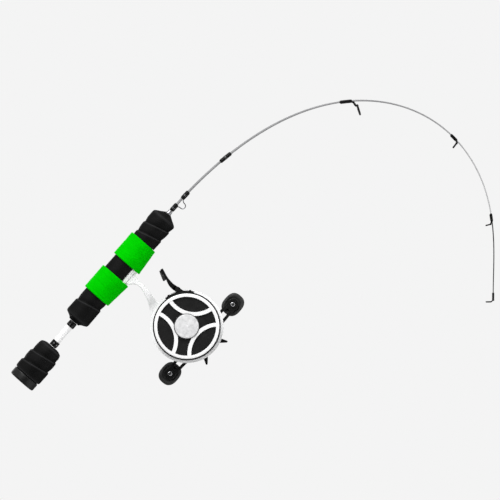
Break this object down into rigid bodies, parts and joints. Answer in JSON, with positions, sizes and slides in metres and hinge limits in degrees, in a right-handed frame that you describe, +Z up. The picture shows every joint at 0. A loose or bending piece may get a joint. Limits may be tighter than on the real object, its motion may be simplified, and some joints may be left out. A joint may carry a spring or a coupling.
{
  "type": "inline ice fishing rod and reel combo",
  "caption": "Short flexed ice rod with foam grips and an inline reel: hanging spool, trigger clutch, double-knob crank, star drag, line guides.",
  "frame": {"origin": "on the handle axis at the middle of the reel seat", "axes": "+X along the handle towards the rod tip, +Z up (the reel hangs at -Z), +Y towards the crank side"},
  "size_m": [0.442, 0.0775, 0.2989],
  "materials": {
    "rod_white": "clear-coated glass blank",
    "rod_tip_black": "clear-coated black tip",
    "tube_white": "coated glass tube",
    "foam_black": "closed-cell foam",
    "cap_black": "moulded rubber",
    "trim_black": "gloss winding check",
    "trim_silver": "bright plated",
    "wrap_green": "stretch wrap",
    "thread_black": "thread under epoxy",
    "guide_black": "black plated wire",
    "ceramic_black": "polished ceramic",
    "chrome_wire": "bright wire",
    "reel_white": "moulded graphite, white",
    "cover_white": "moulded graphite, white",
    "face_white": "gloss white",
    "spool_white": "coated aluminium",
    "insert_dark": "speckled dark insert",
    "hub_grey": "speckled light grey",
    "reel_black": "satin black",
    "pad_black": "ribbed rubber",
    "arm_black": "black anodised",
    "knob_black": "soft touch",
    "steel": "machined steel",
    "rivet_silver": "polished rivet",
    "brass_gear": "cut brass",
    "bearing_steel": "ground steel",
    "bronze_bushing": "sintered bronze",
    "drag_fibre": "drag fibre",
    "spring_steel": "spring wire",
    "arbor_grey": "bonded arbor",
    "band_black": "guard band",
    "screw_black": "blackened screw",
    "yoke_brass": "stamped yoke"
  },
  "bodies": {
    "rod": {"rod_blank": "rod_white", "tip_section": "rod_tip_black", "handle_tube": "tube_white", "blank_arbors": "arbor_grey", "butt_cap": "cap_black", "butt_grip": "foam_black", "butt_trim": "trim_black", "rear_trim": "trim_black", "main_grip": "foam_black", "front_trim": "trim_silver", "reel_wrap_rear": "wrap_green", "reel_wrap_front": "wrap_green", "keeper_wraps": "thread_black", "hook_keeper": "chrome_wire", "accent_wrap": "thread_black", "trim_bands": "trim_silver", "guide_1_frame": "guide_black", "guide_2_frame": "guide_black", "guide_3_frame": "guide_black", "guide_1_insert": "ceramic_black", "guide_2_insert": "ceramic_black", "guide_3_insert": "ceramic_black", "guide_wraps": "thread_black", "tip_top_frame": "guide_black", "tip_top_insert": "ceramic_black", "reel_frame": "reel_white", "gear_cover": "cover_white", "cover_screws": "steel", "trigger_bracket": "reel_black", "bracket_screws": "screw_black", "trigger_pin": "screw_black", "spool_bearings": "bearing_steel", "crank_bearings": "bronze_bushing", "anti_reverse_bearing": "bearing_steel", "yoke_pins": "steel", "yoke_springs": "spring_steel", "clutch_yoke": "yoke_brass"},
    "spool": {"spool": "spool_white", "spool_band": "band_black", "spool_face": "face_white", "spool_insert": "insert_dark", "hub_cap": "hub_grey", "spool_shaft": "steel", "drive_pin": "steel"},
    "pinion": {"pinion_gear": "brass_gear"},
    "crank": {"crank_shaft": "steel", "drive_gear": "brass_gear", "drag_washers": "drag_fibre", "pressure_plate": "steel", "crank_spacer": "steel", "handle_arm": "arm_black", "handle_nut": "steel", "knob_axles": "rivet_silver"},
    "star": {"star_drag": "reel_black"},
    "knob_front": {"knob_front": "knob_black"},
    "knob_rear": {"knob_rear": "knob_black"},
    "trigger": {"trigger_lever": "reel_black", "trigger_pad": "pad_black"},
    "dial": {"drop_speed_dial": "reel_black"}
  },
  "joints": [
    {"name": "crank_spin", "type": "hinge", "parent": "rod", "child": "crank", "pos_m": [0, 0.03, -0.1003], "axis": [0, 1, 0], "continuous": true},
    {"name": "spool_spin", "type": "hinge", "parent": "rod", "child": "spool", "pos_m": [0, 0, -0.0828], "axis": [0, 1, 0], "continuous": true},
    {"name": "trigger_pull", "type": "hinge", "parent": "rod", "child": "trigger", "pos_m": [0.02038, 0.01, -0.05337], "axis": [0, -1, 0], "range_deg": [0, 12], "stiffness_Nm_per_rad": 0.3, "springref_deg": -8.59},
    {"name": "pinion_spin", "type": "hinge", "parent": "rod", "child": "pinion", "pos_m": [0, 0.02, -0.0828], "axis": [0, 1, 0], "continuous": true},
    {"name": "star_drag_turn", "type": "hinge", "parent": "crank", "child": "star", "pos_m": [0, 0.035, -0.1003], "axis": [0, 1, 0], "range_deg": [-180, 180]},
    {"name": "knob_front_spin", "type": "hinge", "parent": "crank", "child": "knob_front", "pos_m": [0.04434, 0.05, -0.1012], "axis": [0, 1, 0], "continuous": true},
    {"name": "knob_rear_spin", "type": "hinge", "parent": "crank", "child": "knob_rear", "pos_m": [-0.04434, 0.05, -0.0994], "axis": [0, 1, 0], "continuous": true},
    {"name": "drop_speed_turn", "type": "hinge", "parent": "rod", "child": "dial", "pos_m": [0, 0.031, -0.0828], "axis": [0, 1, 0], "range_deg": [-150, 150]}
  ],
  "couplings": [
    {"joint": "spool_spin", "follows": "crank_spin", "ratio": -2.5},
    {"joint": "pinion_spin", "follows": "crank_spin", "ratio": -2.5}
  ]
}
